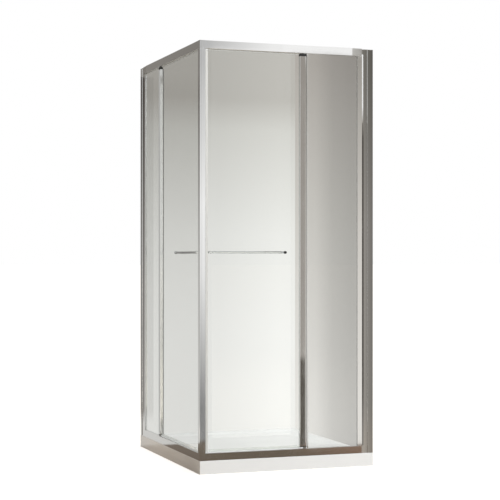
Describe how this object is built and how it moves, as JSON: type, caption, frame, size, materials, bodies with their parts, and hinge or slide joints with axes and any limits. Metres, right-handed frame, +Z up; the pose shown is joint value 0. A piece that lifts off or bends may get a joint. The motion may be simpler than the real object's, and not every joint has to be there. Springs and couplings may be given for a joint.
{
  "type": "shower enclosure",
  "caption": "Rectangular corner shower enclosure: low white tray, polished aluminium frame, clear glass, a pivot door and an in-line pane on each open face, bar handles.",
  "frame": {"origin": "centre of the tray's underside", "axes": "+Z up; the short glazed face looks towards -Y, the long one towards -X; walls at +X and +Y"},
  "size_m": [0.9, 1.08, 2.065],
  "materials": {
    "aluminium": "polished, clear anodised",
    "end_grey": "satin cast end piece",
    "glass": "clear toughened glass",
    "tray_white": "glossy white cast resin",
    "black_nylon": "moulded black nylon",
    "clear_pvc": "clear extruded PVC",
    "grey_rubber": "extruded glazing rubber",
    "steel": "turned stainless steel",
    "chrome": "bright chrome plate"
  },
  "bodies": {
    "frame": {"corner_post": "aluminium", "corner_post_plug": "black_nylon", "front_bottom_rail": "aluminium", "front_glazing_bead": "aluminium", "front_glazing_gaskets": "grey_rubber", "front_groove_covers": "grey_rubber", "front_inline_pane": "glass", "front_pane_edge": "aluminium", "front_pivot_blocks": "black_nylon", "front_post_magnet": "clear_pvc", "front_post_screws": "steel", "front_rail_brackets": "end_grey", "front_rail_end_piece": "end_grey", "front_rail_screws": "steel", "front_top_rail": "aluminium", "front_wall_channel": "aluminium", "front_wall_post": "aluminium", "front_wall_post_cap": "end_grey", "shower_tray": "tray_white", "side_bottom_rail": "aluminium", "side_glazing_bead": "aluminium", "side_glazing_gaskets": "grey_rubber", "side_groove_covers": "grey_rubber", "side_inline_pane": "glass", "side_pane_edge": "aluminium", "side_pivot_blocks": "black_nylon", "side_post_magnet": "clear_pvc", "side_post_screws": "steel", "side_rail_brackets": "end_grey", "side_rail_end_piece": "end_grey", "side_rail_screws": "steel", "side_top_rail": "aluminium", "side_wall_channel": "aluminium", "side_wall_post": "aluminium", "side_wall_post_cap": "end_grey", "waste_cover": "chrome", "waste_flange": "chrome"},
    "front_door": {"front_door_glass": "glass", "front_pivot_stile": "aluminium", "front_stile_caps": "black_nylon", "front_pivot_pins": "steel", "front_door_magnet": "clear_pvc", "front_door_sweep": "clear_pvc", "front_handle_bar": "chrome", "front_handle_posts": "chrome", "front_handle_fixing": "black_nylon", "front_handle_pad": "clear_pvc"},
    "side_door": {"side_door_glass": "glass", "side_pivot_stile": "aluminium", "side_stile_caps": "black_nylon", "side_pivot_pins": "steel", "side_door_magnet": "clear_pvc", "side_door_sweep": "clear_pvc", "side_handle_bar": "chrome", "side_handle_posts": "chrome", "side_handle_fixing": "black_nylon", "side_handle_pad": "clear_pvc"}
  },
  "joints": [
    {"name": "front_door_pivot", "type": "hinge", "parent": "frame", "child": "front_door", "pos_m": [0.089, -0.529, 1.06], "axis": [0, 0, 1], "range_deg": [0, 100]},
    {"name": "side_door_pivot", "type": "hinge", "parent": "frame", "child": "side_door", "pos_m": [-0.439, 0.1765, 1.06], "axis": [0, 0, -1], "range_deg": [0, 100]}
  ]
}
